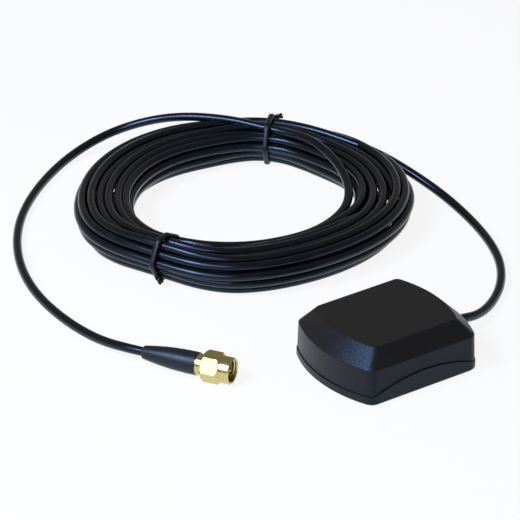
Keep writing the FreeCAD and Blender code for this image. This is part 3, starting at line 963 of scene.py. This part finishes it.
@dataclass
class WireTie:
    """One twisted wire tie: a band drawn tight round the bundle and its two ends. Sizes in mm."""

    node: str
    angle: float
    coil: Coil
    # Outermost turns under the tie: diameters outwards, and rows up from the lowest row
    corners: tuple[tuple[float, float], ...]
    # Where the ends start: which side of the loop, and the share along it
    root: tuple[int, float]
    # Which way they point: outwards, up and round the coil
    heading: Point
    thickness: float = 1.1
    width: float = 1.7
    gap: float = 0.12
    squareness: float = 0.7  # 1 makes the band's section an oval, less makes it squarer
    section_points: int = 12
    corner_steps: int = 4
    tail_length: float = 3.4
    tail_radius: float = 0.5
    tip_share: float = 0.55  # how thin a tail's last ring is, so that its end looks rounded
    tail_steps: int = 14
    tail_sides: int = 10
    twist_radius: float = 0.42
    twist_pitch: float = 3.0

    def reach(self) -> float:
        """From the middle of an outermost turn to the middle of the band, in mm."""
        return self.coil.diameter / 2 + self.gap + self.thickness / 2

    def centres(self) -> list[Vector]:
        """Middles of the outermost turns.

        Returns:
            Points with X outwards and Y up, in mm.
        """
        pitch = self.coil.diameter
        row = self.coil.row_pitch()
        foot = self.coil.lowest() + self.coil.lift
        return [Vector((across * pitch, foot + up * row)) for across, up in self.corners]

    def stand(self, outwards: float, up: float, along: float) -> Vector:
        """Point of the part's frame for a place under the tie.

        Args:
            outwards: From the bundle's middle, in mm.
            up: Above the floor, in mm.
            along: Round the coil from the tie's middle, in mm.

        Returns:
            The point, in metres.
        """
        turn = math.radians(self.angle)
        radius = self.coil.middle(self.angle) + outwards
        return Vector((
            self.coil.centre[0] + radius * math.cos(turn) - along * math.sin(turn),
            self.coil.centre[1] + radius * math.sin(turn) + along * math.cos(turn),
            up,
        )) * MM

    def band(self) -> list[list[Vector]]:
        """Cross-sections of the band all the way round the bundle.

        Returns:
            Rings of points, in metres.
        """
        centres = self.centres()
        rings = []
        count = len(centres)
        for i, centre in enumerate(centres):
            before = (centre - centres[i - 1]).normalized()
            after = (centres[(i + 1) % count] - centre).normalized()
            start = math.atan2(-before.x, before.y)
            swing = (math.atan2(-after.x, after.y) - start) % (2 * math.pi)
            for n in range(self.corner_steps + 1):
                facing = start + swing * n / self.corner_steps
                out = Vector((math.cos(facing), math.sin(facing)))
                rings.append(self.section(centre + out * self.reach(), out))
        return rings

    def section(self, middle: Vector, out: Vector) -> list[Vector]:
        """The band's rounded outline at one place.

        Args:
            middle: Middle of the band, with X outwards and Y up.
            out: Which way is away from the turns.

        Returns:
            The outline's points in the part's frame, in metres.
        """
        ring = []
        power = self.squareness
        for n in range(self.section_points):
            a = 2 * math.pi * n / self.section_points
            deep = math.copysign(abs(math.cos(a)) ** power, math.cos(a)) * self.thickness / 2
            wide = math.copysign(abs(math.sin(a)) ** power, math.sin(a)) * self.width / 2
            point = middle + out * deep
            ring.append(self.stand(point.x, point.y, wide))
        return ring

    def ends(self) -> list[list[list[Vector]]]:
        """The two ends, wound round each other and rounded off.

        Returns:
            The rings of each end, in metres.
        """
        centres = self.centres()
        side, share = self.root
        start, end = centres[side], centres[side + 1]
        out = Vector((end.y - start.y, start.x - end.x)).normalized()
        foot = start.lerp(end, share) + out * self.reach()
        root = self.stand(foot.x, foot.y, 0.0)
        tip = self.stand(*[a + b for a, b in zip((foot.x, foot.y, 0.0), self.heading)])
        along = (tip - root).normalized()
        side_way = along.orthogonal().normalized()
        up_way = along.cross(side_way)
        strands = []
        steps = self.tail_steps
        for phase in (0.0, math.pi):
            path = []
            for n in range(steps + 1):
                gone = self.tail_length * n / steps
                a = phase + 2 * math.pi * gone / self.twist_pitch
                sideways = (side_way * math.cos(a) + up_way * math.sin(a)) * self.twist_radius
                path.append(root + (along * gone + sideways) * MM)
            strands.append(tube_rings(
                path,
                lambda i: self.tail_radius * MM * (self.tip_share if i in (0, steps) else 1.0),
                self.tail_sides,
            ))
        return strands

    def build(self, store: FinishStore) -> bpy.types.Object:
        """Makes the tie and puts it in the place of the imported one.

        Args:
            store: The finishes.

        Returns:
            The tie.
        """
        name = f"wire_{self.node}"
        mesh = swept_mesh(name, [(self.band(), True)] + [(end, False) for end in self.ends()])
        tie = link_mesh(name, mesh, store.material(TwistedWireTie()))
        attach(tie, Body.ANTENNA.value)
        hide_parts(self.node)
        LOG.info("%s: %d faces", tie.name, len(mesh.polygons))
        return tie


# The plug and the puck -------------------------------------------------------------------------


@dataclass
class Plug:
    """The screw-on plug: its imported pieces, and the ridges of the thread in its nut. In mm."""

    tail: Point = (-57.2, 37.2, 4.0)
    thread_radius: float = 3.175
    ridge_height: float = 0.33
    ridge_root: float = 0.3
    ridge_crest: float = 0.05
    ridge_bite: float = 0.03  # how far the ridges' roots lie inside the nut's metal
    fade_turns: float = 0.5
    least_height: float = 0.05  # share of the full height that is left at both ends
    thread_pitch: float = 0.7056
    thread_start: float = 22.3
    thread_end: float = 27.05
    steps: int = 24

    def around(self, along: float, radius: float, angle: float) -> Vector:
        """Point round the plug's axis.

        Args:
            along: From the boot's small end, in mm.
            radius: From the axis, in mm.
            angle: Radians round the axis.

        Returns:
            The point, in metres.
        """
        heading = math.radians(PLUG_HEADING)
        axis = Vector((math.cos(heading), math.sin(heading), 0.0))
        side = Vector((-math.sin(heading), math.cos(heading), 0.0))
        out = side * math.cos(angle) + Vector((0.0, 0.0, 1.0)) * math.sin(angle)
        return (Vector(self.tail) + axis * along + out * radius) * MM

    def thread(self, store: FinishStore) -> bpy.types.Object:
        """Makes the thread's ridges as one right-handed helix that fades out at both ends.

        Args:
            store: The finishes.

        Returns:
            The ridges.
        """
        turns = (self.thread_end - self.thread_start) / self.thread_pitch
        count = round(turns * self.steps)
        rings = []
        for n in range(count + 1):
            angle = 2 * math.pi * n / self.steps
            along = self.thread_start + self.thread_pitch * n / self.steps
            fade = min(1.0, min(n, count - n) / self.steps / self.fade_turns)
            crest = self.thread_radius - self.ridge_height * max(fade, self.least_height)
            root = self.thread_radius + self.ridge_bite
            rings.append([
                self.around(along + offset, radius, angle)
                for offset, radius in (
                    (-self.ridge_root, root), (-self.ridge_crest, crest),
                    (self.ridge_crest, crest), (self.ridge_root, root),
                )
            ])
        mesh = swept_mesh("nut_thread", [(rings, False)])
        ridges = link_mesh("nut_thread", mesh, store.material(GoldPlate()))
        ridges.data.shade_flat()
        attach(ridges, Body.NUT.value)
        LOG.info("nut_thread: %d faces", len(mesh.polygons))
        return ridges

    def build(self, store: FinishStore) -> list[bpy.types.Object]:
        """Dresses the plug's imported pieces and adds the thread.

        Args:
            store: The finishes.

        Returns:
            Everything that hangs on the lead's far end.
        """
        gold = GoldPlate()
        finishes: dict[str, Finish] = {
            "connector_boot": MouldedPvc(), "crimp_ferrule": gold, "plug_core": CablePolyethylene(),
            "connector_body": gold, "nut_gasket": BlackRubber(), "insulator": TurnedPtfe(),
            "center_pin": gold, "coupling_nut": gold,
            "retaining_ring": ZincPlatedSteel(name="spring steel wire, zinc plated"),
        }
        store.dress(finishes)
        return [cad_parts[name] for name in finishes] + [self.thread(store)]


@dataclass
class Puck:
    """The antenna itself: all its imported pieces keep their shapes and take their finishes."""

    def build(self, store: FinishStore) -> None:
        """Dresses the housing and everything in it.

        Args:
            store: The finishes.
        """
        tray = SparkErodedAbs(name="black ABS, spark-eroded, tray", tones=("#171614", "#22201f"))
        store.dress({
            "housing_cover": SparkErodedAbs(), "base_tray": tray,
            "seal_ring": BlackRubber(), "cable_grommet": BlackRubber(),
            "magnets": NickelPlate(), "base_screws": ZincPlatedSteel(),
            "circuit_board": GlassEpoxyBoard(), "patch_tape": AdhesiveTape(),
            "ceramic_patch": SinteredCeramic(), "patch_electrode": PrintedSilver(),
            "feed_pin": GoldPlate(), "foam_pad": OpenCellFoam(), "shield_can": RolledTinplate(),
            "amplifier_components": ChipEpoxy(), "antenna_core": CablePolyethylene(),
        })


# Light, floor and camera -----------------------------------------------------------------------


@dataclass(frozen=True)
class Lamp:
    """A soft rectangular lamp that points at the object."""

    name: str
    azimuth: float  # degrees from +X, seen from above
    elevation: float  # degrees above the floor
    distance: float  # metres from the middle of the object
    size: tuple[float, float]  # width and height in metres
    power: float  # watts
    colour: str = "#d6e1ff"

    def build(self, middle: Point) -> None:
        """Adds the lamp.

        Args:
            middle: What it points at, in metres.
        """
        data = bpy.data.lights.new(self.name, "AREA")
        data.shape = "RECTANGLE"
        data.size, data.size_y = self.size
        data.energy = self.power
        data.color = linear(self.colour)[:3]
        lamp = bpy.data.objects.new(self.name, data)
        bpy.context.scene.collection.objects.link(lamp)
        a, e = math.radians(self.azimuth), math.radians(self.elevation)
        away = Vector((math.cos(a) * math.cos(e), math.sin(a) * math.cos(e), math.sin(e)))
        lamp.location = Vector(middle) + away * self.distance
        lamp.rotation_mode = "QUATERNION"
        lamp.rotation_quaternion = (-away).to_track_quat("-Z", "Y")


@dataclass
class Studio:
    """Pale floor, soft lamps and the photograph's camera. Sizes in metres."""

    camera_place: Point = (-0.5271, -0.7003, 0.5155)
    camera_forward: Point = (0.4979, 0.7203, -0.4830)
    lens: float = 249.38  # mm, like the sensor
    sensor: float = 36.0
    seen: tuple[float, float] = (0.05, 20.0)  # nearest and farthest
    middle: Point = (0.005, 0.06, 0.0)
    lamps: tuple[Lamp, ...] = (
        Lamp("wide key", 197.0, 37.0, 0.9, (0.9, 0.46), 6.0),
        Lamp("key's hot middle", 178.0, 47.0, 0.85, (0.26, 0.2), 5.2),
    )
    floor_reach: float = 3.0
    floor_thickness: float = 0.01
    floor_glow: float = 0.88
    wall_light: float = 0.5
    ceiling_light: float = 0.25
    wall_top: float = 0.3  # upwards part of the direction at which the ceiling starts

    def floor(self) -> None:
        """A wide white floor that shows white to the camera and in metal, and keeps its shadows."""
        far = self.floor_reach
        corners = ((-far, -far), (far, -far), (far, far), (-far, far))
        rings = [[Vector((x, y, z)) for x, y in corners] for z in (-self.floor_thickness, 0.0)]
        mesh = swept_mesh("floor", [(rings, False)])
        material = bpy.data.materials.new("white paper sweep")
        tree = bare_tree(material)
        paper = add_node(tree, "ShaderNodeBsdfDiffuse", values={"Color": linear("#f0f0f0")})
        glow = add_node(tree, "ShaderNodeEmission", values={"Color": linear("#ffffff")})
        rays = add_node(tree, "ShaderNodeLightPath")
        shown = rays.outputs["Is Camera Ray"]
        for kind in ("Is Glossy Ray", "Is Transmission Ray"):
            shown = add_node(
                tree, "ShaderNodeMath", settings={"operation": "MAXIMUM"},
                links={0: shown, 1: rays.outputs[kind]},
            ).outputs[0]
        share = add_node(
            tree, "ShaderNodeMath", settings={"operation": "MULTIPLY"},
            values={1: self.floor_glow}, links={0: shown},
        )
        shader = add_node(
            tree, "ShaderNodeMixShader",
            links={0: share.outputs[0], 1: paper.outputs[0], 2: glow.outputs[0]},
        )
        add_node(tree, "ShaderNodeOutputMaterial", links={"Surface": shader.outputs[0]})
        link_mesh("floor", mesh, material)

    def world(self) -> None:
        """White walls low down that fade to a dim ceiling."""
        world = bpy.data.worlds.new("studio")
        bpy.context.scene.world = world
        tree = bare_tree(world)
        way = add_node(
            tree, "ShaderNodeSeparateXYZ",
            links={0: add_node(tree, "ShaderNodeTexCoord").outputs["Generated"]},
        )
        strength = add_node(
            tree, "ShaderNodeMapRange", settings={"interpolation_type": "SMOOTHSTEP"},
            values={
                "From Min": 0.0, "From Max": self.wall_top,
                "To Min": self.wall_light, "To Max": self.ceiling_light,
            },
            links={"Value": way.outputs["Z"]},
        )
        light = add_node(
            tree, "ShaderNodeBackground", values={"Color": linear("#fff7ec")},
            links={"Strength": strength.outputs[0]},
        )
        add_node(tree, "ShaderNodeOutputWorld", links={"Surface": light.outputs[0]})

    def camera(self) -> None:
        """The photograph's camera: a long lens, 29 degrees above the floor."""
        data = bpy.data.cameras.new("camera")
        data.lens = self.lens
        data.sensor_width = self.sensor
        data.clip_start, data.clip_end = self.seen
        camera = bpy.data.objects.new("camera", data)
        bpy.context.scene.collection.objects.link(camera)
        camera.location = self.camera_place
        camera.rotation_mode = "QUATERNION"
        camera.rotation_quaternion = Vector(self.camera_forward).to_track_quat("-Z", "Y")
        bpy.context.scene.camera = camera

    def build(self) -> None:
        """Sets the stage."""
        self.floor()
        self.world()
        for lamp in self.lamps:
            lamp.build(self.middle)
        self.camera()
        bpy.context.scene.view_settings.view_transform = "Standard"


def main() -> None:
    """Builds the sub-assemblies in order and reports each piece."""
    logging.basicConfig(level=logging.INFO)
    store = FinishStore()
    lead = Lead()
    curve = lead.build(store)
    outer_side = ((1.0, 0), (2.0, 2), (1.0, 4))
    ties = [
        WireTie(
            "tie_front", lead.coil.front_tie, lead.coil,
            corners=(*outer_side, (0.0, 4), (-1.5, 3), (-2.0, 2), (-1.0, 0)),
            root=(0, 0.4), heading=(0.8, -1.5, 2.4),
        ),
        WireTie(
            "tie_back", lead.coil.back_tie, lead.coil,
            corners=(*outer_side, (-1.0, 4), (-2.0, 2), (-1.0, 0)),
            root=(1, 0.8), heading=(1.4, 0.2, -2.0),
        ),
    ]
    on_lead = [tie.build(store) for tie in ties] + Plug().build(store)
    Puck().build(store)
    Studio().build()


if __name__ == "__main__":
    main()
